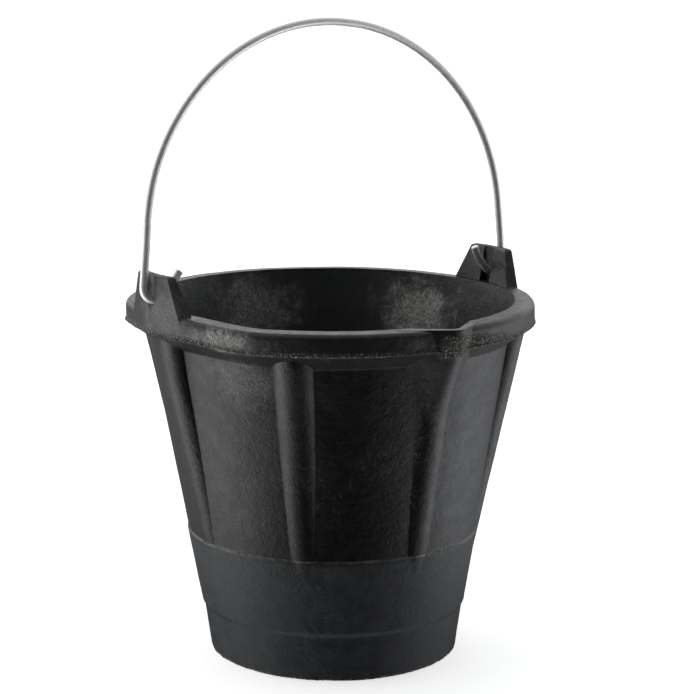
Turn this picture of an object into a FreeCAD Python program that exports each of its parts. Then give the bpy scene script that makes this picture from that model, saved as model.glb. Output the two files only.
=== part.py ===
"""Mason's rubber bucket with a pouring spout and a wire bail.

Millimetres, +Z up. The origin is the middle of the base, on the floor. The two ears stand on
the X axis, and the spout points along -Y. Two pieces are made: the one-piece rubber moulding,
and the steel wire bail that swings in the ears about a line along X.
"""

import FreeCAD, Part
import math
import os

Vector = FreeCAD.Vector
UP = Vector(0, 0, 1)
ORIGIN = Vector(0, 0, 0)

# Bucket wall: a cone, measured as outer radius against height
RIM_Z = 282.0
WALL_FOOT_R = 97.0
WALL_SLOPE = 0.1785
WALL_T = 4.0
FLOOR_T = 6.0
FLOOR_CORNER_R = 9.0

# Foot and lower band, which stand out from the panels above them
FOOT_R = 98.3
FOOT_EDGE_R = 1.5
FOOT_TOP_R = 103.3
FOOT_TOP_Z = 36.0
BAND_BOTTOM_Z = 39.5
BAND_TOP_Z = 97.6
BAND_PROUD = 1.1
PANEL_BOTTOM_Z = 99.2

# Rim flange
FLANGE_R = 160.0
FLANGE_EDGE_R = 4.5
RIM_INNER_R = 144.5
RIM_FALL = 0.4
LIP_FLARE_Z = 250.0
LIP_FLARE_R = 60.0
UNDERSIDE_Z = 253.5
FLASH_Z = 266.0
FLASH_PROUD = 1.2
FLASH_HALF = 1.0
EASED_EDGE_R = 1.0
CRISP_EDGE_R = 0.6
UNDERSIDE_R = 2.0

# Ribs: round bars that lean out a little more than the wall does
RIB_COUNT = 8
RIB_R = 17.0
RIB_CREST_FOOT_R = 94.3
RIB_CREST_SLOPE = 0.2252
RIB_BOTTOM_Z = 55.0
RIB_TOP_Z = 268.0

# Spout: rounded-V sections as (height, crest radius, tip radius, flank angle from the tangent)
SPOUT_OUTSIDE = [
    (192.0, 137.2, 17.0, 52.0),
    (214.0, 143.2, 14.0, 50.0),
    (234.0, 151.8, 11.0, 47.0),
    (252.0, 160.0, 11.0, 41.0),
    (266.0, 165.6, 13.0, 35.0),
    (RIM_Z, 167.0, 13.0, 33.0),
]
SPOUT_INSIDE = [
    (184.0, 124.5, 12.0, 45.0),
    (210.0, 135.5, 10.0, 45.0),
    (234.0, 146.0, 8.0, 45.0),
    (252.0, 154.6, 7.0, 42.0),
    (266.0, 160.2, 7.0, 39.0),
    (RIM_Z + 1.0, 162.0, 7.0, 38.0),
]
SPOUT_DEPTH = 45.0
CHANNEL_DEPTH = 60.0

# Where the inside of the spout meets the wall: its rounding, as (height, plan radius), and how
# far the cut reaches back into the room inside
MOUTH_BACK = 12.0
MOUTH_CORNERS = [(228.0, 0.6), (244.0, 3.0), (262.0, 6.0), (RIM_Z + 1.0, 8.0)]

# Ears
EAR_TOP_Z = 311.0
EAR_TOP_HALF = 22.6
EAR_SIDE_LEAN = 22.5
EAR_ROOT_Z = 270.0
EAR_INNER_R = 148.6
EAR_INNER_TOP_R = 153.7
EAR_ROUND = 2.6
EAR_CORNER_R = 4.5
EAR_SWING = 18.0

# Wire bail: a round arch on straight legs that lean outwards as they come down
WIRE_R = 3.0
HOLE_CLEARANCE = 0.05
PIVOT_Z = 291.0
ARCH_R = 162.3
BAIL_APEX_Z = 494.3
LEG_LEAN = 5.5
LEG_BEND_R = 9.0
TIP_X = 151.2
TIP_RISE = 52.0
TIP_REACH = 26.0
TIP_BEND_R = 5.0

# Hollows in the ears that clear the bends of the wire
CHANNEL_HALF = 6.5
CHANNEL_FLOOR_R = 154.0
GROOVE_DEPTH = 3.0
GROOVE_SIZE_R = 75.0
GROOVE_NOSE_R = 7.0
GROOVE_Z = PIVOT_Z + 10.0
MOUTH_GAP = 0.6

BEYOND = 40.0  # how far cutting tools reach past what they cut

leg_angle = math.radians(LEG_LEAN)
arch_centre_z = BAIL_APEX_Z - ARCH_R
arch_end = Vector(ARCH_R * math.cos(leg_angle), 0, arch_centre_z + ARCH_R * math.sin(leg_angle))
leg_foot = Vector(arch_end.x + (arch_end.z - PIVOT_Z) * math.tan(leg_angle), 0, PIVOT_Z)
bend_start_x = leg_foot.x - LEG_BEND_R * math.tan((math.pi / 2 + leg_angle) / 2)


def wall_radius(z):
    return WALL_FOOT_R + WALL_SLOPE * z


def inner_wall_radius(z):
    """Inside of the wall, which flares above LIP_FLARE_Z to meet the rim."""
    straight = wall_radius(min(z, LIP_FLARE_Z)) - WALL_T
    flare = max(z - LIP_FLARE_Z, 0) / (RIM_Z - LIP_FLARE_Z)
    return min(straight + flare * (RIM_INNER_R - straight), RIM_INNER_R)


def in_profile(a, b):
    """A point at radius a and height b, in the half plane that is turned about Z."""
    return Vector(a, 0, b)


def across_x(a, b):
    """A point at Y = a and Z = b, for outlines pushed along X."""
    return Vector(0, a, b)


def corner_cut(before, corner, after, radius):
    """The two ends and the middle of the arc that rounds a corner."""
    to_before = (before - corner).normalize()
    to_after = (after - corner).normalize()
    half = to_before.getAngle(to_after) / 2
    reach = radius / math.tan(half)
    middle = (to_before + to_after).normalize()
    start = corner + to_before * reach
    end = corner + to_after * reach
    crown = corner + middle * (radius / math.sin(half) - radius)
    return start, crown, end


def rounded_face(corners, place):
    """A flat face from corners given as (a, b, rounding radius)."""
    points = [place(a, b) for a, b, _ in corners]
    pieces = []
    for i, (_, _, radius) in enumerate(corners):
        before = points[i - 1]
        after = points[(i + 1) % len(points)]
        if radius > 0:
            pieces.append(corner_cut(before, points[i], after, radius))
        else:
            pieces.append((points[i],))
    edges = []
    for i, piece in enumerate(pieces):
        if len(piece) == 3:
            edges.append(Part.Arc(*piece).toShape())
        following = pieces[(i + 1) % len(pieces)]
        edges.append(Part.LineSegment(piece[-1], following[0]).toShape())
    return Part.Face(Part.Wire(edges))


def turned(corners, degrees=360.0):
    """The solid swept by an outline of (radius, height, rounding) about Z."""
    return rounded_face(corners, in_profile).revolve(ORIGIN, UP, degrees)


def outer_form():
    """Foot, band, panels and rim flange, solid to the axis."""
    flash_r = FLANGE_R + FLASH_PROUD
    return turned(
        [
            (0, 0, 0),
            (FOOT_R, 0, FOOT_EDGE_R),
            (FOOT_TOP_R, FOOT_TOP_Z, EASED_EDGE_R),
            (wall_radius(BAND_BOTTOM_Z) + BAND_PROUD, BAND_BOTTOM_Z, EASED_EDGE_R),
            (wall_radius(BAND_TOP_Z) + BAND_PROUD, BAND_TOP_Z, CRISP_EDGE_R),
            (wall_radius(PANEL_BOTTOM_Z), PANEL_BOTTOM_Z, CRISP_EDGE_R),
            (wall_radius(UNDERSIDE_Z), UNDERSIDE_Z, UNDERSIDE_R),
            (FLANGE_R - FLASH_PROUD, FLASH_Z - FLASH_HALF, 0),
            (flash_r, FLASH_Z, 0),
            (FLANGE_R, FLASH_Z + FLASH_HALF, 0),
            (FLANGE_R, RIM_Z - RIM_FALL, FLANGE_EDGE_R),
            (RIM_INNER_R, RIM_Z, 0),
            (0, RIM_Z, 0),
        ]
    )


def cavity():
    """The room inside the bucket, open past the top of the rim."""
    beyond_z = RIM_Z + BEYOND
    return turned(
        [
            (0, FLOOR_T, 0),
            (wall_radius(FLOOR_T) - WALL_T, FLOOR_T, FLOOR_CORNER_R),
            (wall_radius(LIP_FLARE_Z) - WALL_T, LIP_FLARE_Z, LIP_FLARE_R),
            (RIM_INNER_R, RIM_Z, 0),
            (RIM_INNER_R, beyond_z, 0),
            (0, beyond_z, 0),
        ]
    )


def rib(turn):
    """One round bar, which dives into the wall low down and ends inside the flange."""
    lean = math.atan(RIB_CREST_SLOPE)
    axis_in = RIB_R / math.cos(lean)
    start_r = RIB_CREST_FOOT_R + RIB_CREST_SLOPE * RIB_BOTTOM_Z - axis_in
    length = (RIB_TOP_Z - RIB_BOTTOM_Z) / math.cos(lean)
    start = Vector(0, -start_r, RIB_BOTTOM_Z)
    along = Vector(0, -math.sin(lean), math.cos(lean))
    bar = Part.makeCylinder(RIB_R, length, start, along)
    bar.rotate(ORIGIN, UP, turn)
    return bar


def vee_wire(z, crest, tip_r, flank, depth):
    """A rounded V that points along -Y, closed by a straight back depth behind its crest."""
    angle = math.radians(flank)
    tangent_x = tip_r * math.sin(angle)
    tangent_drop = tip_r * (1 - math.cos(angle))
    back_x = tangent_x + (depth - tangent_drop) / math.tan(angle)
    left_back = Vector(-back_x, depth - crest, z)
    left_tip = Vector(-tangent_x, tangent_drop - crest, z)
    tip = Vector(0, -crest, z)
    right_tip = Vector(tangent_x, tangent_drop - crest, z)
    right_back = Vector(back_x, depth - crest, z)
    return Part.Wire(
        [
            Part.LineSegment(left_back, left_tip).toShape(),
            Part.Arc(left_tip, tip, right_tip).toShape(),
            Part.LineSegment(right_tip, right_back).toShape(),
            Part.LineSegment(right_back, left_back).toShape(),
        ]
    )


def vee_loft(sections, depth):
    return Part.makeLoft([vee_wire(*row, depth) for row in sections], True, False)


def between(rows, z):
    """The values of a table of rows that start with a height, read off at height z."""
    for low, high in zip(rows, rows[1:]):
        if low[0] <= z <= high[0]:
            share = (z - low[0]) / (high[0] - low[0])
            return [a + share * (b - a) for a, b in zip(low[1:], high[1:])]
    return list(rows[-1][1:])


def mouth_wire(z, radius):
    """The plan of the spout's mouth, its two corners against the wall rounded to radius."""
    crest, tip_r, flank = between(SPOUT_INSIDE, z)
    angle = math.radians(flank)
    wall_r = inner_wall_radius(z)
    along = Vector(math.cos(angle), math.sin(angle), 0)
    outward = Vector(math.sin(angle), -math.cos(angle), 0)
    flank_point = Vector(tip_r * math.sin(angle), tip_r * (1 - math.cos(angle)) - crest, z)
    start = flank_point + outward * radius
    flat_start = Vector(start.x, start.y, 0)
    halfway = flat_start.dot(along)
    excess = flat_start.dot(flat_start) - (wall_r + radius) ** 2
    travel = -halfway - math.sqrt(halfway**2 - excess)
    if travel < 0:
        travel = -halfway + math.sqrt(halfway**2 - excess)
    centre = start + along * travel
    on_flank = centre - outward * radius
    toward_axis = Vector(-centre.x, -centre.y, 0).normalize()
    on_wall = centre + toward_axis * radius
    crown = centre + (toward_axis - outward).normalize() * radius
    back = Vector(on_wall.x, on_wall.y + MOUTH_BACK, z)

    def mirrored(point):
        return Vector(-point.x, point.y, point.z)

    other_back = mirrored(back)
    return Part.Wire(
        [
            Part.LineSegment(back, on_wall).toShape(),
            Part.Arc(on_wall, crown, on_flank).toShape(),
            Part.LineSegment(on_flank, mirrored(on_flank)).toShape(),
            Part.Arc(mirrored(on_flank), mirrored(crown), mirrored(on_wall)).toShape(),
            Part.LineSegment(mirrored(on_wall), other_back).toShape(),
            Part.LineSegment(other_back, back).toShape(),
        ]
    )


def mouth_corners():
    """Rounds the two edges between the spout's channel and the inside of the wall."""
    return Part.makeLoft([mouth_wire(z, radius) for z, radius in MOUTH_CORNERS], True, False)


def ear(side):
    """A lug flush with the outside of the flange, with slanted ends and a rounded top."""
    block = turned(
        [
            (EAR_INNER_R, EAR_ROOT_Z, 0),
            (FLANGE_R, EAR_ROOT_Z, 0),
            (FLANGE_R, EAR_TOP_Z, EAR_ROUND),
            (EAR_INNER_TOP_R, EAR_TOP_Z, EAR_ROUND),
            (EAR_INNER_R, RIM_Z, 0),
        ],
        2 * EAR_SWING,
    )
    block.rotate(ORIGIN, UP, -EAR_SWING)
    spread = (EAR_TOP_Z - EAR_ROOT_Z) * math.tan(math.radians(EAR_SIDE_LEAN))
    root_half = EAR_TOP_HALF + spread
    outline = rounded_face(
        [
            (-root_half, EAR_ROOT_Z, 0),
            (root_half, EAR_ROOT_Z, 0),
            (EAR_TOP_HALF, EAR_TOP_Z, EAR_CORNER_R),
            (-EAR_TOP_HALF, EAR_TOP_Z, EAR_CORNER_R),
        ],
        across_x,
    )
    lug = block.common(outline.extrude(Vector(FLANGE_R + BEYOND, 0, 0)))
    if side < 0:
        lug.rotate(ORIGIN, UP, 180)
    return lug


def ear_hollows(side):
    """What the wire needs in an ear: its hole, a flared mouth, a groove and a channel."""
    hole = Part.makeCylinder(
        WIRE_R + HOLE_CLEARANCE, BEYOND, Vector(FLANGE_R - BEYOND / 2, 0, PIVOT_Z), Vector(1, 0, 0)
    )
    flare_r = LEG_BEND_R - WIRE_R - MOUTH_GAP
    inner = Vector(bend_start_x, 0, PIVOT_Z)
    throat = Vector(bend_start_x, 0, PIVOT_Z + LEG_BEND_R - flare_r)
    along = math.sqrt(0.5) * flare_r
    middle = Vector(bend_start_x + along, 0, PIVOT_Z + LEG_BEND_R - along)
    brim = Vector(bend_start_x + flare_r, 0, PIVOT_Z + LEG_BEND_R)
    past = Vector(FLANGE_R + BEYOND, 0, PIVOT_Z + LEG_BEND_R)
    past_axis = Vector(FLANGE_R + BEYOND, 0, PIVOT_Z)
    mouth = Part.Face(
        Part.Wire(
            [
                Part.LineSegment(inner, throat).toShape(),
                Part.Arc(throat, middle, brim).toShape(),
                Part.LineSegment(brim, past).toShape(),
                Part.LineSegment(past, past_axis).toShape(),
                Part.LineSegment(past_axis, inner).toShape(),
            ]
        )
    ).revolve(Vector(0, 0, PIVOT_Z), Vector(1, 0, 0), 360)
    groove_x = FLANGE_R - GROOVE_DEPTH + GROOVE_SIZE_R
    groove = Part.makeTorus(
        GROOVE_SIZE_R - GROOVE_NOSE_R, GROOVE_NOSE_R, Vector(groove_x, 0, GROOVE_Z), Vector(0, 1, 0)
    )
    channel = Part.makeBox(
        BEYOND,
        2 * CHANNEL_HALF,
        EAR_TOP_Z - RIM_Z + BEYOND,
        Vector(CHANNEL_FLOOR_R - BEYOND, -CHANNEL_HALF, RIM_Z),
    )
    tool = hole.multiFuse([mouth, groove, channel])
    if side < 0:
        tool.rotate(ORIGIN, UP, 180)
    return tool


def rubber_bucket():
    ribs = [rib(turn * 360.0 / RIB_COUNT) for turn in range(RIB_COUNT)]
    ears = [ear(side) for side in (-1, 1)]
    form = outer_form().multiFuse(ribs + [vee_loft(SPOUT_OUTSIDE, SPOUT_DEPTH)] + ears)
    hollows = [cavity(), vee_loft(SPOUT_INSIDE, CHANNEL_DEPTH), mouth_corners()]
    hollows += [ear_hollows(side) for side in (-1, 1)]
    return form.cut(hollows).removeSplitter()


def wire_path():
    """The wire's centre line: tips, shafts through the ears, legs and arch, in order."""
    rise = math.radians(TIP_RISE)
    tip_corner = Vector(TIP_X, 0, PIVOT_Z)
    tip_end = tip_corner + Vector(-math.cos(rise), 0, math.sin(rise)) * TIP_REACH
    tip_bend = corner_cut(tip_end, tip_corner, leg_foot, TIP_BEND_R)
    leg_bend = corner_cut(tip_corner, leg_foot, arch_end, LEG_BEND_R)
    half = [
        Part.LineSegment(tip_end, tip_bend[0]).toShape(),
        Part.Arc(*tip_bend).toShape(),
        Part.LineSegment(tip_bend[-1], leg_bend[0]).toShape(),
        Part.Arc(*leg_bend).toShape(),
        Part.LineSegment(leg_bend[-1], arch_end).toShape(),
    ]
    other_half = [edge.copy() for edge in half]
    for edge in other_half:
        edge.rotate(ORIGIN, UP, 180)
    other_end = Vector(-arch_end.x, 0, arch_end.z)
    arch = Part.Arc(arch_end, Vector(0, 0, BAIL_APEX_Z), other_end).toShape()
    return Part.Wire(Part.__sortEdges__(half + [arch] + other_half))


def wire_bail():
    """Round wire bent in one plane."""
    path = wire_path()
    tip = path.OrderedVertexes[0].Point
    start_edge = path.OrderedEdges[0]
    heading = start_edge.tangentAt(start_edge.FirstParameter)
    section = Part.Wire(Part.makeCircle(WIRE_R, tip, heading))
    bail = path.makePipeShell([section], True, False)
    print("wire length", round(path.Length, 1), "volume ratio",
          round(bail.Volume / (path.Length * math.pi * WIRE_R**2), 4))
    return bail


def main():
    os.makedirs("parts", exist_ok=True)
    pieces = {"rubber_bucket": rubber_bucket(), "wire_bail": wire_bail()}
    for name, shape in pieces.items():
        shape.exportStep("parts/" + name + ".step")
        box = shape.BoundBox
        print(name, shape.ShapeType, len(shape.Solids), shape.isValid(), round(shape.Volume),
              [round(v, 2) for v in (box.XMin, box.XMax, box.YMin, box.YMax, box.ZMin, box.ZMax)])


main()
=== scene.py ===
import math

import bpy
import numpy as np
from mathutils import Matrix, Vector, noise


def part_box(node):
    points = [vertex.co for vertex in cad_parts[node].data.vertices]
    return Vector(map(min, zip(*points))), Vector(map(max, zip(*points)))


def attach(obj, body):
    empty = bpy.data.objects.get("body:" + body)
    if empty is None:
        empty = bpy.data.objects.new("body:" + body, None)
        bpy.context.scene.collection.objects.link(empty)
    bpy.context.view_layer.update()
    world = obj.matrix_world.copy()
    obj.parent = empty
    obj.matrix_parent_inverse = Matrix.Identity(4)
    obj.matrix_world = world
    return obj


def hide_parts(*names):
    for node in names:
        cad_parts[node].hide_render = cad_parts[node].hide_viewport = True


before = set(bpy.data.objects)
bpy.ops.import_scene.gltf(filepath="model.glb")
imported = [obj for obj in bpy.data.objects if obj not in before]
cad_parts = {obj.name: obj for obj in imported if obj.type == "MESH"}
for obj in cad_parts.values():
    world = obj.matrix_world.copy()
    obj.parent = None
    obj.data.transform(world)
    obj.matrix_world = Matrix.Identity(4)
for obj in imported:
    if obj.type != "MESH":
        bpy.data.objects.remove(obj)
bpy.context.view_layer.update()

# Heights and radii of the moulding, in metres, as in the CAD source
RIM_Z = 0.282
RIM_R = 0.160
PIVOT_Z = 0.291
FLASH_Z = 0.266
LEDGE_Z = 0.0984
WALL_SLOPE = 0.1785
WALL_IN_R = 0.093  # the wall's inner and outer radius, carried down to the ground
WALL_OUT_R = 0.097

def placed(name, data):
    """A new object with this data, linked into the scene."""
    made = bpy.data.objects.new(name, data)
    bpy.context.scene.collection.objects.link(made)
    return made


# ---------------------------------------------------------------- camera
VIEW_TURN = math.radians(-32.6)  # from the direction of the spout round to the camera
CAMERA_SPOT = Vector((-0.00185, -1.55119, 0.526))
CAMERA_PITCH = math.radians(10.42)
CAMERA_YAW = math.radians(0.50)
CAMERA_ROLL = math.radians(0.45)
CAMERA_LENS = 103.69
SENSOR_WIDTH = 36.0


def place_camera():
    """Looks at the bucket from in front, with the spout turned to the right."""
    data = bpy.data.cameras.new("camera")
    data.lens = CAMERA_LENS
    data.sensor_width = SENSOR_WIDTH
    camera = placed("camera", data)
    turn = Matrix.Rotation(VIEW_TURN, 3, "Z")
    forward = turn @ Vector((
        math.sin(CAMERA_YAW) * math.cos(CAMERA_PITCH),
        math.cos(CAMERA_YAW) * math.cos(CAMERA_PITCH),
        -math.sin(CAMERA_PITCH),
    ))
    level = forward.cross(Vector((0, 0, 1))).normalized()
    upright = level.cross(forward)
    right = math.cos(CAMERA_ROLL) * level + math.sin(CAMERA_ROLL) * upright
    up = math.cos(CAMERA_ROLL) * upright - math.sin(CAMERA_ROLL) * level
    facing = Matrix((right, up, -forward)).transposed()
    camera.matrix_world = Matrix.Translation(turn @ CAMERA_SPOT) @ facing.to_4x4()
    bpy.context.scene.camera = camera


# ---------------------------------------------------------------- node building
WHITE = (1, 1, 1, 1)
BLOB_EDGE = (1.15, 0.25)  # where a blob begins and where it is full, in shares of its radii


class Nodes:
    """Adds nodes to a tree and wires them together."""

    def __init__(self, tree):
        self.tree = tree

    def put(self, socket, value):
        if isinstance(value, bpy.types.NodeSocket):
            self.tree.links.new(value, socket)
        else:
            socket.default_value = value

    def add(self, kind, sockets=None, **settings):
        made = self.tree.nodes.new(kind)
        for name, value in settings.items():
            setattr(made, name, value)
        for key, value in (sockets or {}).items():
            self.put(made.inputs[key], value)
        return made

    def math(self, operation, *values):
        made = self.add("ShaderNodeMath", operation=operation)
        for socket, value in zip(made.inputs, values):
            self.put(socket, value)
        return made.outputs[0]

    def product(self, *values):
        result = values[0]
        for value in values[1:]:
            result = self.math("MULTIPLY", result, value)
        return result

    def total(self, *values):
        result = values[0]
        for value in values[1:]:
            result = self.math("ADD", result, value)
        return result

    def inverse(self, value):
        """1 minus the value."""
        return self.math("SUBTRACT", 1.0, value)

    def most(self, first, *others):
        result = first
        for value in others:
            result = self.math("MAXIMUM", result, value)
        return result

    def away(self, value, middle):
        """How far the value is from middle, either way."""
        return self.math("ABSOLUTE", self.math("SUBTRACT", value, middle))

    def swing(self, field, amount):
        """A noise field moved to lie round zero, times amount."""
        return self.product(self.math("SUBTRACT", field, 0.5), amount)

    def reach(self, x, y):
        """The distance from the bucket's axis."""
        return self.math("SQRT", self.total(self.product(x, x), self.product(y, y)))

    def split(self, vector):
        return self.add("ShaderNodeSeparateXYZ", {0: vector}).outputs

    def step(self, value, low, high, bottom=0.0, top=1.0):
        """Smoothly from bottom at low to top at high. Low may be above high."""
        if low > high:
            low, high, bottom, top = high, low, top, bottom
        sockets = {"Value": value, "From Min": low, "From Max": high,
                   "To Min": bottom, "To Max": top}
        made = self.add("ShaderNodeMapRange", sockets, interpolation_type="SMOOTHSTEP")
        return made.outputs["Result"]

    def noise(self, place, scale, detail=2.0, roughness=0.5, distortion=0.0):
        sockets = {"Vector": place, "Scale": scale, "Detail": detail,
                   "Roughness": roughness, "Distortion": distortion}
        return self.add("ShaderNodeTexNoise", sockets).outputs["Fac"]

    def stretched(self, place, turn, sizes):
        """The place turned by Euler angles in degrees, then scaled on each axis."""
        sockets = {"Vector": place, "Rotation": [math.radians(a) for a in turn], "Scale": sizes}
        return self.add("ShaderNodeMapping", sockets).outputs["Vector"]

    def mix(self, share, under, over):
        made = self.add("ShaderNodeMix", {0: share}, data_type="RGBA")
        self.put(made.inputs[6], under)
        self.put(made.inputs[7], over)
        return made.outputs[2]

    def blob(self, place, centre, radii, ragged):
        """1 in the middle of an ellipsoid and 0 outside it, with an edge broken by ragged."""
        moved = self.add("ShaderNodeVectorMath", operation="SUBTRACT")
        self.put(moved.inputs[0], place)
        moved.inputs[1].default_value = centre
        scaled = self.add("ShaderNodeVectorMath", operation="DIVIDE")
        self.put(scaled.inputs[0], moved.outputs[0])
        scaled.inputs[1].default_value = radii
        reach = self.add("ShaderNodeVectorMath", operation="LENGTH")
        self.put(reach.inputs[0], scaled.outputs[0])
        return self.step(self.math("ADD", reach.outputs["Value"], ragged), *BLOB_EDGE)

    def bump(self, height, depth, strength=1.0, normal=None):
        sockets = {"Height": height, "Distance": depth, "Strength": strength}
        if normal is not None:
            sockets["Normal"] = normal
        return self.add("ShaderNodeBump", sockets).outputs["Normal"]


def new_paint(name):
    """An empty material, the builder of its nodes, and its shader."""
    paint = bpy.data.materials.new(name)
    paint.use_nodes = True
    return paint, Nodes(paint.node_tree), paint.node_tree.nodes["Principled BSDF"]


# ---------------------------------------------------------------- studio
# A pair named ..._AT holds the cosines with an axis where a change of light begins and ends.
SIDE_LIGHT = 4.45
FRONT_LIGHT = 0.07
SIDES_AT = (0.72, 0.02)
DARK_TURN = math.radians(8.0)  # the dark end of the room stands a little to the right
BACK_LOW = 0.06
BACK_HIGH = 0.33
BACK_RISE_AT = (-0.10, 0.12)
BACKWARD_AT = (0.0, -0.80)
LEFT_TO_RIGHT = (-1.0, 1.0)
LEFT_SHARE = 1.12
RIGHT_SHARE = 0.76
LOW_SHARE = 0.60
LOW_AT = (-0.80, -0.20)
HIGH_SHARE = 0.20
HIGH_SIDES_AT = (-0.22, 0.48)
HIGH_BACK_AT = (0.55, 0.95)
LEFT_LIFT = 0.34  # how much lower the sides' light ends on the left and on the right
RIGHT_LIFT = 0.22
LEFT_TINT = (0.985, 0.995, 1.0, 1)
RIGHT_TINT = (0.960, 0.975, 1.0, 1)

FLOOR_HALF = 90.0
PAPER = (0.94, 0.94, 0.94, 1)
PAPER_GLOW = 0.60
SHADE_R = 0.42
SHADE_FULL_R = 0.11
SHADE_DEPTH = 0.0005
SHADE_SIDES = 64
SHADE_GREY = (0.25, 0.25, 0.25, 1)


def set_world():
    """Bright at both sides, dim behind and dark in front. The camera itself sees white."""
    world = bpy.data.worlds.new("studio")
    bpy.context.scene.world = world
    world.use_nodes = True
    nodes = Nodes(world.node_tree)
    way = nodes.add("ShaderNodeTexCoord").outputs["Generated"]
    front = Matrix.Rotation(VIEW_TURN + DARK_TURN, 3, "Z") @ Vector((0, -1, 0))
    side = Matrix.Rotation(VIEW_TURN, 3, "Z") @ Vector((1, 0, 0))

    def along(axis):
        made = nodes.add("ShaderNodeVectorMath", operation="DOT_PRODUCT")
        nodes.put(made.inputs[0], way)
        made.inputs[1].default_value = axis
        return made.outputs["Value"]

    toward_front = along(front)
    toward_right = along(side)
    height = along((0, 0, 1))
    sides = nodes.step(toward_front, *SIDES_AT, FRONT_LIGHT, SIDE_LIGHT)
    back_share = nodes.step(height, *BACK_RISE_AT, BACK_LOW, BACK_HIGH)
    backward = nodes.step(toward_front, *BACKWARD_AT)
    behind = nodes.inverse(nodes.product(backward, nodes.inverse(back_share)))
    tilt = nodes.step(toward_right, *LEFT_TO_RIGHT, LEFT_SHARE, RIGHT_SHARE)
    below = nodes.step(height, *LOW_AT, LOW_SHARE, 1.0)
    lift = nodes.step(toward_right, *LEFT_TO_RIGHT, LEFT_LIFT, RIGHT_LIFT)
    lifted = nodes.total(height, lift)
    above_sides = nodes.step(lifted, *HIGH_SIDES_AT, 1.0, HIGH_SHARE)
    above_back = nodes.step(height, *HIGH_BACK_AT, 1.0, HIGH_SHARE)
    above = nodes.total(above_sides, nodes.product(
        backward, nodes.math("SUBTRACT", above_back, above_sides)))
    light = nodes.product(sides, behind, tilt, below, above)
    seen = nodes.add("ShaderNodeLightPath").outputs["Is Camera Ray"]
    back = world.node_tree.nodes["Background"]
    nodes.put(back.inputs["Strength"], nodes.math("MAXIMUM", light, seen))
    tint = nodes.mix(nodes.step(toward_right, *LEFT_TO_RIGHT), LEFT_TINT, RIGHT_TINT)
    nodes.put(back.inputs["Color"], nodes.mix(seen, tint, WHITE))


def lay_floor():
    """White paper to the horizon. It isn't mirrored in the object."""
    mesh = bpy.data.meshes.new("floor")
    half = FLOOR_HALF
    corners = [(-half, -half, 0), (half, -half, 0), (half, half, 0), (-half, half, 0)]
    mesh.from_pydata(corners, [], [(0, 1, 2, 3)])
    floor = placed("floor", mesh)
    paint, _, shader = new_paint("floor_paper")
    shader.inputs["Base Color"].default_value = PAPER
    shader.inputs["Roughness"].default_value = 1.0
    shader.inputs["Specular IOR Level"].default_value = 0.0
    shader.inputs["Emission Color"].default_value = WHITE
    shader.inputs["Emission Strength"].default_value = PAPER_GLOW
    mesh.materials.append(paint)
    floor.visible_glossy = False
    floor.visible_diffuse = False


def lay_shade():
    """A disc under the foot that only the bucket mirrors, as dimmer paper."""
    mesh = bpy.data.meshes.new("foot_shade")
    turns = np.linspace(0, 2 * math.pi, SHADE_SIDES, endpoint=False)
    depths = 0 * turns - SHADE_DEPTH
    ring = np.stack([SHADE_R * np.cos(turns), SHADE_R * np.sin(turns), depths], 1)
    mesh.from_pydata([tuple(p) for p in ring], [], [tuple(range(SHADE_SIDES))])
    shade = placed("foot_shade", mesh)
    paint, nodes, _ = new_paint("foot_shade")
    x, y, _ = nodes.split(nodes.add("ShaderNodeTexCoord").outputs["Object"])
    share = nodes.step(nodes.reach(x, y), SHADE_FULL_R, SHADE_R)
    clear = nodes.add("ShaderNodeBsdfTransparent")
    nodes.put(clear.inputs["Color"], nodes.mix(share, SHADE_GREY, WHITE))
    nodes.put(paint.node_tree.nodes["Material Output"].inputs["Surface"], clear.outputs[0])
    mesh.materials.append(paint)
    shade.visible_camera = False
    shade.visible_diffuse = False
    shade.visible_shadow = False
    shade.visible_transmission = False


# ---------------------------------------------------------------- bucket mesh
MICROMETRES = 1e6
TINY = 1e-6

# The longest edges of the bucket's triangles
EDGE_OUTSIDE = 0.0033
EDGE_INSIDE = 0.0055
EDGE_UNDERSIDE = 0.012
EDGE_RIM = 0.0024
EDGE_FOOT = 0.0014
EDGE_FLASH = 0.0010
EDGE_SPOUT = 0.0011
MOST_ROUNDS = 10

# Which edges run round the bucket, and how far the middle of one is bowed out at most
ROUND_DRIFT = 0.3
ROUND_MIN_R = 0.06
ROUND_MAX_LENGTH = 0.2
MOST_BOW = 0.0006

# The soft body's lean at the ground and at the rim, its twist, and the sag of its rim
FOOT_X, FOOT_Y = 0.0015, -0.0024
RIM_X = -0.0022
TWIST = np.radians(1.4)
SAG_MEAN = 0.0011
SAG_SWING = 0.0022
SAG_TURN = math.radians(-50.0)
SAG_FROM, SAG_TO = 0.15, 0.262
EAR_DEGREES = (13, 38)
EAR_FADE = (0.20, 0.255)

# Waves in the rubber: the height, size and seed of each layer
SLOW_WAVES = ((0.00028, 0.034, 1), (0.00009, 0.009, 2))
TORN_WAVES = ((0.9, 0.0017, 3), (0.5, 0.012, 4))
FLASH_WAVES = ((0.00035, 0.0023, 5),)
CRUMB_WAVES = ((1.0, 0.0016, 6), (0.6, 0.0040, 7))
FOOT_WAVES = ((0.0006, 0.0024, 8), (0.0005, 0.011, 9))
CRUMB_HEIGHT = 0.00042
SEED_SHIFT = (7.31, 3.17, 5.93)
SHARP_RUBBER = math.radians(34)


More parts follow.
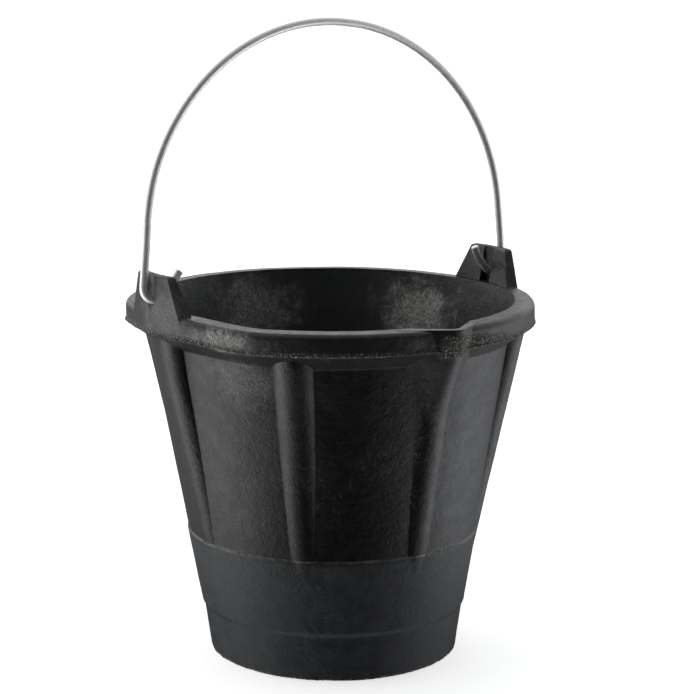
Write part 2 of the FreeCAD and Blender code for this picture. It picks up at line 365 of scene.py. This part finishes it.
def triangles_of(node):
    """Points and triangles of a CAD node, with coinciding points joined."""
    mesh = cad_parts[node].data
    points = np.empty(len(mesh.vertices) * 3)
    mesh.vertices.foreach_get("co", points)
    points = points.reshape(-1, 3)
    mesh.calc_loop_triangles()
    faces = np.empty(len(mesh.loop_triangles) * 3, dtype=np.int64)
    mesh.loop_triangles.foreach_get("vertices", faces)
    grid = np.round(points * MICROMETRES).astype(np.int64)
    _, first, joined = np.unique(grid, axis=0, return_index=True, return_inverse=True)
    faces = joined.reshape(-1)[faces].reshape(-1, 3)
    whole = (faces[:, 0] != faces[:, 1]) & (faces[:, 1] != faces[:, 2])
    whole &= faces[:, 2] != faces[:, 0]
    return points[first], faces[whole]


def spout_share(points):
    """1 on the spout and 0 away from it."""
    beside = np.clip((0.040 - np.abs(points[:, 0])) / 0.010, 0, 1)
    return beside * (points[:, 1] < -0.120) * np.clip((points[:, 2] - 0.245) / 0.006, 0, 1)


def edge_limit(points):
    """The longest edge wanted at each point."""
    radius = np.hypot(points[:, 0], points[:, 1])
    z = points[:, 2]
    inner_wall = WALL_IN_R + WALL_SLOPE * z
    outside = radius > inner_wall + 0.0015
    limit = np.where(outside, EDGE_OUTSIDE, EDGE_INSIDE)
    limit[z < 0.0005] = EDGE_UNDERSIDE
    limit[(z > 0.25) & (radius > 0.130)] = EDGE_RIM
    limit[(z < 0.0035) & (radius > 0.0945)] = EDGE_FOOT
    limit[(np.abs(z - FLASH_Z) < 0.0022) & (radius > 0.158)] = EDGE_FLASH
    lip = (spout_share(points) > 0.3) & (z > 0.256) & (z < 0.274) & (radius > 0.157)
    limit[lip] = EDGE_SPOUT
    return limit


def halfway(a, b):
    """The middle of each edge. One that runs round the bucket is bowed out to its circle."""
    middle = (a + b) / 2
    ra = np.hypot(a[:, 0], a[:, 1])
    rb = np.hypot(b[:, 0], b[:, 1])
    rm = np.hypot(middle[:, 0], middle[:, 1])
    length = np.linalg.norm(a - b, axis=1)
    drift = np.abs(ra - rb - WALL_SLOPE * (a[:, 2] - b[:, 2]))
    round_edge = (drift < ROUND_DRIFT * length) & (rm > ROUND_MIN_R)
    round_edge &= length < ROUND_MAX_LENGTH
    bow = np.where(round_edge, (ra + rb) / 2 / np.maximum(rm, TINY), 1.0)
    bow = np.minimum(bow, 1 + MOST_BOW / np.maximum(rm, TINY))
    middle[:, :2] *= bow[:, None]
    return middle


def refined(points, faces):
    """Splits the edges that are longer than their limit, until none is or the rounds end."""
    for _ in range(MOST_ROUNDS):
        pairs = np.sort(faces[:, [[0, 1], [1, 2], [2, 0]]], axis=2).reshape(-1, 2)
        keys, back = np.unique(pairs[:, 0] * len(points) + pairs[:, 1], return_inverse=True)
        a, b = points[keys // len(points)], points[keys % len(points)]
        middle = halfway(a, b)
        split = np.linalg.norm(a - b, axis=1) > edge_limit(middle)
        if not split.any():
            break
        fresh = np.where(split, len(points) + np.cumsum(split) - 1, -1)
        points = np.vstack([points, middle[split]])
        cuts = fresh[back.reshape(-1, 3)]
        faces = np.vstack([split_faces(points, faces, cuts, turn) for turn in range(3)]
                          + [faces[(cuts < 0).all(axis=1)], quartered(faces, cuts)])
    return points, faces


def quartered(faces, cuts):
    """Triangles cut on all three edges become four."""
    every = (cuts >= 0).all(axis=1)
    (a, b, c), (m, n, o) = faces[every].T, cuts[every].T
    rows = [(a, m, o), (m, b, n), (o, n, c), (m, n, o)]
    return np.vstack([np.stack(row, axis=1) for row in rows])


def split_faces(points, faces, cuts, turn):
    """Triangles cut on edge turn alone become two, and those cut on it and the next three."""
    faces = np.roll(faces, -turn, axis=1)
    cuts = np.roll(cuts, -turn, axis=1)
    one = (cuts[:, 0] >= 0) & (cuts[:, 1] < 0) & (cuts[:, 2] < 0)
    two = (cuts[:, 0] >= 0) & (cuts[:, 1] >= 0) & (cuts[:, 2] < 0)
    (a, b, c), m = faces[one].T, cuts[one, 0]
    made = [np.stack(row, axis=1) for row in ((a, m, c), (m, b, c))]
    (a, b, c), m, n = faces[two].T, cuts[two, 0], cuts[two, 1]
    made.append(np.stack((m, b, n), axis=1))
    near = np.linalg.norm(points[a] - points[n], axis=1) < np.linalg.norm(
        points[m] - points[c], axis=1)
    first = np.where(near[:, None], np.stack((a, m, n), axis=1), np.stack((a, m, c), axis=1))
    last = np.where(near[:, None], np.stack((a, n, c), axis=1), np.stack((m, n, c), axis=1))
    return np.vstack(made + [first, last])


def outward(points, faces):
    """A unit normal at each point."""
    corners = points[faces]
    normals = np.cross(corners[:, 1] - corners[:, 0], corners[:, 2] - corners[:, 0])
    sums = np.zeros_like(points)
    for k in range(3):
        np.add.at(sums, faces[:, k], normals)
    return sums / np.maximum(np.linalg.norm(sums, axis=1), 1e-12)[:, None]


def smooth(value, low, high):
    """Smoothly from 0 at low to 1 at high."""
    t = np.clip((value - low) / (high - low), 0, 1)
    return t * t * (3 - 2 * t)


def waves(points, size, seed):
    """Smooth noise between about -1 and 1 at each point."""
    shift = Vector([seed * s for s in SEED_SHIFT])
    return np.array([noise.noise(Vector(p) / size + shift) for p in points])


def layered(points, layers, base=0.0):
    """Layers of waves added to base."""
    for height, size, seed in layers:
        base = base + height * waves(points, size, seed)
    return base


def settled(points):
    """The soft body leans and twists under its rim, and the rim sags, but not at the ears."""
    x, y, z = points.T
    height = np.clip(z / RIM_Z, 0, 1)
    off_ears = smooth(np.degrees(np.arctan2(np.abs(y), np.abs(x))), *EAR_DEGREES)
    free = np.where(z > EAR_FADE[0], 1 - (1 - off_ears) * smooth(z, *EAR_FADE), 1.0)
    turn = TWIST * free
    shift_x = (FOOT_X + (RIM_X - FOOT_X) * height) * free
    shift_y = (FOOT_Y - FOOT_Y * height) * free
    around = np.arctan2(x, -y)
    sag = SAG_MEAN + SAG_SWING * np.cos(around - SAG_TURN)
    moved = points.copy()
    moved[:, 0] = x * np.cos(turn) - y * np.sin(turn) + shift_x
    moved[:, 1] = x * np.sin(turn) + y * np.cos(turn) + shift_y
    moved[:, 2] = z - sag * free * smooth(z, SAG_FROM, SAG_TO)
    return moved


def roughened(points, faces):
    """Slow waves in the rubber, torn flash on the parting line and spout, a ragged foot."""
    x, y, z = points.T
    radius = np.hypot(x, y)
    normals = outward(points, faces)
    off_wire = smooth(np.hypot(y, z - PIVOT_Z), 0.013, 0.020)
    off_wire = np.where(radius > 0.140, off_wire, 1.0)
    slow = layered(points, SLOW_WAVES)
    moved = points + normals * (slow * off_wire)[:, None]

    line = (radius > 0.1592) & (np.abs(z - FLASH_Z) < 0.0011) & (spout_share(points) < 0.2)
    rows = np.nonzero(line)[0]
    torn = layered(points[rows], TORN_WAVES, base=0.5)
    proud = (radius[rows] - RIM_R) * np.clip(torn, -0.1, 1.0)
    proud = np.where(radius[rows] > RIM_R, proud, radius[rows] - RIM_R)
    moved[rows, :2] = points[rows, :2] * ((RIM_R + proud) / radius[rows])[:, None]
    moved[rows, 2] += layered(points[rows], FLASH_WAVES)

    share = spout_share(points) * smooth(x, -0.014, -0.006)
    share *= smooth(z, 0.2595, 0.2620) * (1 - smooth(z, 0.2755, 0.2785))
    share *= radius > 0.1575
    rows = np.nonzero(share > 0.01)[0]
    crumbs = layered(points[rows], CRUMB_WAVES)
    moved[rows] += normals[rows] * (CRUMB_HEIGHT * crumbs * share[rows])[:, None]

    rows = np.nonzero((z < 0.0016) & (radius > 0.0955))[0]
    ragged = layered(points[rows], FOOT_WAVES)
    moved[rows, :2] *= (1 + ragged / radius[rows])[:, None]
    moved[:, 2] = np.maximum(moved[:, 2], 0)
    moved[z < 0.0002, 2] = z[z < 0.0002]
    return moved


def bucket_mesh():
    """The CAD's bucket, refined, roughened and settled. It keeps the place of each point
    before it settled, which the rubber's material reads."""
    points, faces = refined(*triangles_of("rubber_bucket"))
    as_moulded = roughened(points, faces)
    low, high = (np.array(v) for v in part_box("rubber_bucket"))
    points = np.clip(settled(as_moulded), low, high)
    mesh = bpy.data.meshes.new("moulded_bucket")
    mesh.from_pydata(points, [], faces)
    kept = mesh.attributes.new("as_moulded", "FLOAT_VECTOR", "POINT")
    kept.data.foreach_set("vector", as_moulded.ravel())
    mesh.shade_smooth()
    mesh.set_sharp_from_angle(angle=SHARP_RUBBER)
    return mesh


# ---------------------------------------------------------------- wire mesh
WIRE_R = 0.003
ARCH_R = 0.1623
APEX_Z = 0.4943
LEG_LEAN = math.radians(5.5)
LEG_BEND_R = 0.009
TIP_X = 0.1512
TIP_RISE = math.radians(52.0)
TIP_STRAIGHT = 0.0165
TIP_ENDS = {1: (0.1380, 0.3115), -1: (0.1356, 0.3112)}  # |x| and z of each cut end
TIP_BEND_R = 0.005
TIP_CURVE_R = 0.020
# How far the hand-bent arch stands over to one side, against height
ARCH_DRIFT = ((0.300, 0.0), (0.330, 0.0004), (0.388, 0.0022), (0.444, 0.0033), (0.4943, 0.0048))
DRIFT_X = 0.166  # the legs stay where they are from here out
RIGHT_FROM_X = 0.02
RIGHT_DRIFT = 0.7  # the share of the drift on the side where x is positive
RING = 28
BEND_STEPS = 8
LEG_STEPS = 6
ARCH_STEPS = 48
CUT_EASE = 0.0004
SHARP_WIRE = math.radians(40)


def bent(before, corner, after, radius, count=BEND_STEPS):
    """Points round the arc that rounds a corner."""
    to_before = (before - corner).normalized()
    to_after = (after - corner).normalized()
    half = to_before.angle(to_after) / 2
    centre = corner + (to_before + to_after).normalized() * (radius / math.sin(half))
    start = corner + to_before * (radius / math.tan(half)) - centre
    end = corner + to_after * (radius / math.tan(half)) - centre
    sweep = math.pi - 2 * half
    return [
        centre + (start * math.sin(sweep * (1 - k / count)) + end * math.sin(sweep * k / count))
        / math.sin(sweep)
        for k in range(count + 1)
    ]


def wire_line():
    """The wire's centre line in the XZ plane, from the tip at +X to the tip at -X.

    Each tip first follows the CAD's straight line and then curves to its own cut end."""
    centre_z = APEX_Z - ARCH_R
    arch_end = Vector((ARCH_R * math.cos(LEG_LEAN), 0, centre_z + ARCH_R * math.sin(LEG_LEAN)))
    foot = Vector((arch_end.x + (arch_end.z - PIVOT_Z) * math.tan(LEG_LEAN), 0, PIVOT_Z))
    corner = Vector((TIP_X, 0, PIVOT_Z))
    halves = []
    for side, (tip_x, tip_z) in TIP_ENDS.items():
        tip = Vector((tip_x, 0, tip_z))
        turned = corner + Vector((-math.cos(TIP_RISE), 0, math.sin(TIP_RISE))) * TIP_STRAIGHT
        half = [tip] + bent(tip, turned, corner, TIP_CURVE_R)
        half += bent(turned, corner, foot, TIP_BEND_R)
        half += bent(corner, foot, arch_end, LEG_BEND_R)
        half += [half[-1].lerp(arch_end, k / LEG_STEPS) for k in range(1, LEG_STEPS)]
        for k in range(ARCH_STEPS + 1):
            angle = LEG_LEAN + (math.pi / 2 - LEG_LEAN) * k / ARCH_STEPS
            across, up = ARCH_R * math.cos(angle), ARCH_R * math.sin(angle)
            half.append(Vector((across, 0, centre_z + up)))
        halves.append([Vector((side * p.x, 0, p.z)) for p in half])
    line = np.array(halves[0] + halves[1][-2::-1])
    heights, drifts = np.array(ARCH_DRIFT).T
    drift = np.interp(line[:, 2], heights, drifts) * (np.abs(line[:, 0]) < DRIFT_X)
    line[:, 0] -= drift * np.where(line[:, 0] > RIGHT_FROM_X, RIGHT_DRIFT, 1.0)
    return line


def wire_mesh():
    """A round tube along the line, with slightly eased cut ends."""
    line = wire_line()
    ends = [(line[0], line[1]), (line[-1], line[-2])]
    eased = [tip + (inner - tip) / np.linalg.norm(inner - tip) * CUT_EASE for tip, inner in ends]
    line = np.vstack([line[:1], eased[:1], line[1:-1], eased[1:], line[-1:]])
    sizes = np.full(len(line), WIRE_R)
    sizes[[0, -1]] = WIRE_R - CUT_EASE
    headings = np.gradient(line, axis=0)
    headings /= np.linalg.norm(headings, axis=1)[:, None]
    across = np.stack([-headings[:, 2], headings[:, 1], headings[:, 0]], axis=1)
    turns = np.arange(RING) * 2 * math.pi / RING
    rings = line[:, None] + sizes[:, None, None] * (
        np.cos(turns)[None, :, None] * across[:, None] + np.sin(turns)[None, :, None]
        * np.array([0, 1.0, 0]))
    points = rings.reshape(-1, 3)
    faces = [
        (k * RING + j, k * RING + (j + 1) % RING, (k + 1) * RING + (j + 1) % RING,
         (k + 1) * RING + j)
        for k in range(len(line) - 1) for j in range(RING)
    ]
    faces.append(tuple(range(RING))[::-1])
    faces.append(tuple(range(len(points) - RING, len(points))))
    mesh = bpy.data.meshes.new("bent_wire")
    mesh.from_pydata(points, [], faces)
    mesh.validate()
    mesh.shade_smooth()
    mesh.set_sharp_from_angle(angle=SHARP_WIRE)
    return mesh


# ---------------------------------------------------------------- rubber
DEEP_BLACK = (0.0026, 0.0027, 0.0030, 1)
CLOUD_BLACK = (0.013, 0.0145, 0.016, 1)
BAND_GREY = (0.034, 0.0365, 0.040, 1)
# Painted highlight on the rib crests and spout prow
CREST_HIGHLIGHT_GREY = (0.020, 0.021, 0.022, 1)
FACE_GREY = (0.024, 0.024, 0.023, 1)
# Painted fill light and a dusty film inside
INSIDE_FILL_AND_DUST_GREY = (0.052, 0.055, 0.056, 1)
HAIR_GREY = (0.120, 0.130, 0.138, 1)
FILM_GREY = (0.056, 0.054, 0.049, 1)
# Dried mortar; on the flange's front left edge it also stands for a painted highlight
DUST_AND_HIGHLIGHT_GREY = (0.480, 0.470, 0.440, 1)
CRUMB_BROWN = (0.060, 0.055, 0.046, 1)
# Painted highlight on the ledge
LEDGE_HIGHLIGHT_GREY = (0.19, 0.19, 0.185, 1)
SPECK_BUFF = (0.36, 0.335, 0.28, 1)
RUBBER_IOR = 1.42
RUBBER_ROUGH = 0.42

# Scratches: the turn, the stretch, the scale and the half width of each family
SCRATCHES = (
    ((0, 0, 20), (1.0, 1.0, 0.30), 190.0, 0.016),
    ((25, 10, 60), (1.0, 1.0, 0.22), 240.0, 0.016),
    ((-30, 15, 110), (1.0, 1.0, 0.35), 150.0, 0.012),
)
# Scuffed places: centre and radii
SCUFFED = (
    ((-0.0145, -0.132, 0.185), (0.0115, 0.050, 0.085)),
    ((-0.030, -0.150, 0.240), (0.014, 0.040, 0.022)),
    ((0.052, -0.125, 0.215), (0.020, 0.040, 0.045)),
)
SCUFF_RAGGED = 1.2
# Dried mortar, and one painted highlight: centre, radii, amount and the side of the wall that it
# lies on
DUST_AND_HIGHLIGHT_PATCHES = (
    # Dried mortar on the flange's top outer edge at the front left, with a painted highlight
    # where that rounded edge faces up and to the left
    ((-0.143, -0.072, 0.2720), (0.033, 0.046, 0.0125), 1.00, "outside"),
    ((-0.158, -0.020, 0.285), (0.020, 0.050, 0.035), 0.26, "outside"),
    ((-0.122, -0.066, 0.240), (0.036, 0.040, 0.026), 0.27, "outside"),
    ((-0.031, -0.160, 0.2715), (0.012, 0.020, 0.0075), 0.20, "outside"),
    ((0.014, 0.137, 0.2515), (0.054, 0.054, 0.036), 0.80, "inside"),
    ((0.1255, 0.0586, 0.2500), (0.037, 0.046, 0.038), 1.45, "inside"),
    ((0.158, 0.0, 0.300), (0.030, 0.034, 0.018), 0.14, "outside"),
    ((-0.155, 0.0, 0.311), (0.020, 0.034, 0.010), 0.24, "outside"),
    ((0.148, -0.070, 0.279), (0.040, 0.060, 0.010), 0.16, "outside"),
)
PATCH_RAGGED = 1.6
PATCH_POWER = 2.0


def scratched(nodes, place, broad, patchy):
    """1 on hair-fine broken scratches, which gather where the rubber is worn."""
    hairs = []
    for turn, sizes, scale, width in SCRATCHES:
        field = nodes.noise(nodes.stretched(place, turn, sizes), scale, 1.5, 0.5, 0.6)
        hairs.append(nodes.step(nodes.away(field, 0.5), width, width * 0.25))
    broken = nodes.step(nodes.noise(place, 160.0, 3.0, 0.6), 0.50, 0.60)
    worn = nodes.step(broad, 0.50, 0.66, 0.04, 0.7)
    ragged = nodes.swing(patchy, SCUFF_RAGGED)
    for centre, radii in SCUFFED:
        worn = nodes.most(worn, nodes.blob(place, centre, radii, ragged))
    return nodes.product(nodes.most(*hairs), broken, worn)


def dust_and_highlight_share(nodes, place, patchy, clumps, sides):
    """From 0 to 1 where dried mortar lies in patches; the first patch is also a painted
    highlight on the flange's front left edge.
    """
    ragged = nodes.swing(patchy, PATCH_RAGGED)
    patches = []
    for centre, radii, amount, side in DUST_AND_HIGHLIGHT_PATCHES:
        patch = nodes.math("POWER", nodes.blob(place, centre, radii, ragged), PATCH_POWER)
        patches.append(nodes.product(patch, amount, sides[side]))
    patch_grain = nodes.noise(nodes.stretched(place, (20, 15, 30), (1.0, 1.0, 0.6)), 700.0, 6.0, 0.8)
    dust_and_highlight = nodes.product(nodes.most(*patches), nodes.step(patch_grain, 0.40, 0.62, 0.22, 1.0),
                         nodes.step(clumps, 0.28, 0.62, 0.50, 1.0))
    return nodes.math("MINIMUM", dust_and_highlight, 1.0)


def torn_places(nodes, x, y, z, radius):
    """1 along the flange's parting line and on the crumbly flash beside the spout."""
    line = nodes.product(nodes.step(nodes.away(z, FLASH_Z), 0.0034, 0.0012),
                         nodes.step(radius, 0.1580, 0.1596))
    top = nodes.total(z, nodes.product(x, 0.11))
    by_spout = nodes.product(nodes.step(x, -0.014, -0.006), nodes.step(x, 0.085, 0.045),
                             nodes.step(y, -0.120, -0.135), nodes.step(z, 0.2600, 0.2625),
                             nodes.step(top, 0.2785, 0.2755), nodes.step(radius, 0.1560, 0.1585))
    return nodes.most(line, by_spout)


def rubber():
    """Matt black moulded rubber with scratches, dusty films, patches of dried mortar, crumbs,
    and painted highlights and painted fill light in its colour.
    """
    paint, nodes, shader = new_paint("moulded_rubber")
    place = nodes.add("ShaderNodeAttribute", attribute_name="as_moulded").outputs["Vector"]
    x, y, z = nodes.split(place)
    radius = nodes.reach(x, y)
    facing = nodes.split(nodes.add("ShaderNodeNewGeometry").outputs["Normal"])[2]

    wall = nodes.total(WALL_OUT_R, nodes.product(z, WALL_SLOPE))
    proud = nodes.math("SUBTRACT", radius, wall)
    inside = nodes.step(proud, -0.001, -0.003)
    sides = {"inside": inside, "outside": nodes.inverse(inside)}

    broad = nodes.noise(place, 22.0, 4.0, 0.6)
    patchy = nodes.noise(place, 75.0, 6.0, 0.62, 0.4)
    grain = nodes.noise(place, 420.0, 5.0, 0.65)
    pores = nodes.noise(place, 1300.0, 3.0, 0.6)
    clumps = nodes.noise(place, 190.0, 4.0, 0.65)
    crumbs = nodes.noise(place, 620.0, 4.0, 0.7)
    flecks = nodes.noise(place, 760.0, 2.0, 0.6)

    # Lighter tones: random cloud, dusty films, painted highlights, painted fill light inside and
    # a lighter lower part
    cloudy = nodes.product(nodes.step(patchy, 0.42, 0.72), nodes.step(broad, 0.35, 0.68),
                           nodes.step(grain, 0.35, 0.6, 0.4, 1.0))
    # Painted highlight on the rib crests and the spout's prow, below the flange
    crest_highlight = nodes.product(nodes.step(proud, 0.0045, 0.0075), nodes.step(z, 0.262, 0.250))
    face = nodes.product(nodes.step(radius, 0.1575, 0.1590), nodes.step(z, 0.255, 0.262))
    # Painted fill light over a thin dusty film inside the bucket, left off the right wall where
    # the side light falls
    inner = nodes.product(inside, nodes.step(z, 0.283, 0.279), nodes.step(x, 0.138, 0.105))
    # Below the ledge's height, except the middle of the bottom, the black is lighter, cooler and
    # rougher
    lower_band = nodes.product(nodes.step(z, 0.101, 0.093), nodes.step(radius, 0.094, 0.096))
    film = nodes.product(nodes.step(facing, 0.55, 0.95), nodes.step(z, 0.270, 0.280),
                         nodes.step(grain, 0.35, 0.65, 0.05, 0.30))

    hairs = scratched(nodes, place, broad, patchy)
    dust_and_highlight = dust_and_highlight_share(nodes, place, patchy, clumps, sides)
    torn = torn_places(nodes, x, y, z, radius)
    crumbly = nodes.product(torn, nodes.step(crumbs, 0.44, 0.56))
    foot_edge = nodes.product(nodes.step(z, 0.0030, 0.0010), nodes.step(radius, 0.094, 0.096))
    specks = nodes.product(nodes.most(torn, nodes.product(foot_edge, 0.8)),
                           nodes.step(flecks, 0.57, 0.63))
    # Painted highlight on the upward face of the ledge, broken into patches
    lit_ledge = nodes.product(nodes.step(nodes.away(z, LEDGE_Z), 0.0013, 0.0005),
                          nodes.step(patchy, 0.35, 0.60, 0.2, 0.8),
                          nodes.step(radius, 0.112, 0.1135))

    colour = DEEP_BLACK
    for share, over in (
        (cloudy, CLOUD_BLACK),
        (nodes.product(lower_band, nodes.step(patchy, 0.30, 0.70, 0.60, 0.95)), BAND_GREY),
        (nodes.product(crest_highlight, 0.8), CREST_HIGHLIGHT_GREY),
        (nodes.product(face, 0.8), FACE_GREY),
        (nodes.product(inner, 0.7), INSIDE_FILL_AND_DUST_GREY),
        (nodes.product(hairs, 0.55), HAIR_GREY),
        (film, FILM_GREY),
        (dust_and_highlight, DUST_AND_HIGHLIGHT_GREY),
        (nodes.product(crumbly, 0.8), CRUMB_BROWN),
        (nodes.product(lit_ledge, 0.8), LEDGE_HIGHLIGHT_GREY),
        (specks, SPECK_BUFF),
    ):
        colour = nodes.mix(share, colour, over)

    rough = nodes.total(RUBBER_ROUGH, nodes.swing(patchy, 0.35), nodes.swing(grain, 0.25),
                        nodes.product(dust_and_highlight, 0.30), nodes.product(torn, 0.30),
                        nodes.product(hairs, 0.15), nodes.product(lower_band, 0.12))

    normal = None
    for height, depth, strength in (
        (broad, 0.0007, 0.5),
        (patchy, 0.0007, 0.45),
        (clumps, 0.00080, 0.6),
        (grain, 0.00050, 0.7),
        (nodes.total(pores, nodes.product(hairs, 0.6)), 0.00009, 0.6),
        (nodes.product(torn, crumbs), 0.0012, 0.8),
    ):
        normal = nodes.bump(height, depth, strength, normal)

    nodes.put(shader.inputs["Base Color"], colour)
    nodes.put(shader.inputs["Roughness"], rough)
    nodes.put(shader.inputs["Normal"], normal)
    shader.inputs["IOR"].default_value = RUBBER_IOR
    return paint


# ---------------------------------------------------------------- wire
ZINC = (0.94, 0.94, 0.93, 1)
ZINC_BRIGHT = (0.99, 0.99, 0.98, 1)
STREAK_GREY = (0.66, 0.66, 0.65, 1)
STAIN_GREY = (0.58, 0.57, 0.54, 1)
ZINC_METALLIC = 0.40
ZINC_ROUGH = 0.42


def galvanised_wire():
    """Dull zinc on drawn steel wire, with spangle, streaks along it and a few stains."""
    paint, nodes, shader = new_paint("galvanised_wire")
    place = nodes.add("ShaderNodeTexCoord").outputs["Object"]
    spangle = nodes.noise(place, 260.0, 3.0, 0.55, 0.3)
    streak = nodes.noise(nodes.stretched(place, (0, 0, 0), (1.0, 1.0, 0.18)), 900.0, 3.0, 0.6)
    speck = nodes.noise(place, 1400.0, 2.0, 0.5)
    stain = nodes.step(nodes.noise(place, 90.0, 4.0, 0.6), 0.55, 0.75)

    colour = nodes.mix(nodes.step(spangle, 0.35, 0.65), ZINC, ZINC_BRIGHT)
    colour = nodes.mix(nodes.product(nodes.step(streak, 0.52, 0.66), 0.5), colour, STREAK_GREY)
    colour = nodes.mix(nodes.product(stain, 0.3), colour, STAIN_GREY)
    rough = nodes.total(ZINC_ROUGH, nodes.swing(spangle, 0.30), nodes.product(stain, 0.10))
    normal = nodes.bump(streak, 0.00008, 0.5)
    normal = nodes.bump(speck, 0.00006, 0.5, normal)

    nodes.put(shader.inputs["Base Color"], colour)
    nodes.put(shader.inputs["Roughness"], rough)
    nodes.put(shader.inputs["Normal"], normal)
    shader.inputs["Metallic"].default_value = ZINC_METALLIC
    return paint


# ---------------------------------------------------------------- assembly
place_camera()
set_world()
lay_floor()
lay_shade()
bpy.context.scene.view_settings.view_transform = "Standard"

bucket = placed("moulded_bucket", bucket_mesh())
bucket.data.materials.append(rubber())
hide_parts("rubber_bucket")
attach(bucket, "bucket")

wire = placed("bent_wire", wire_mesh())
wire.data.materials.append(galvanised_wire())
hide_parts("wire_bail")
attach(wire, "bail")
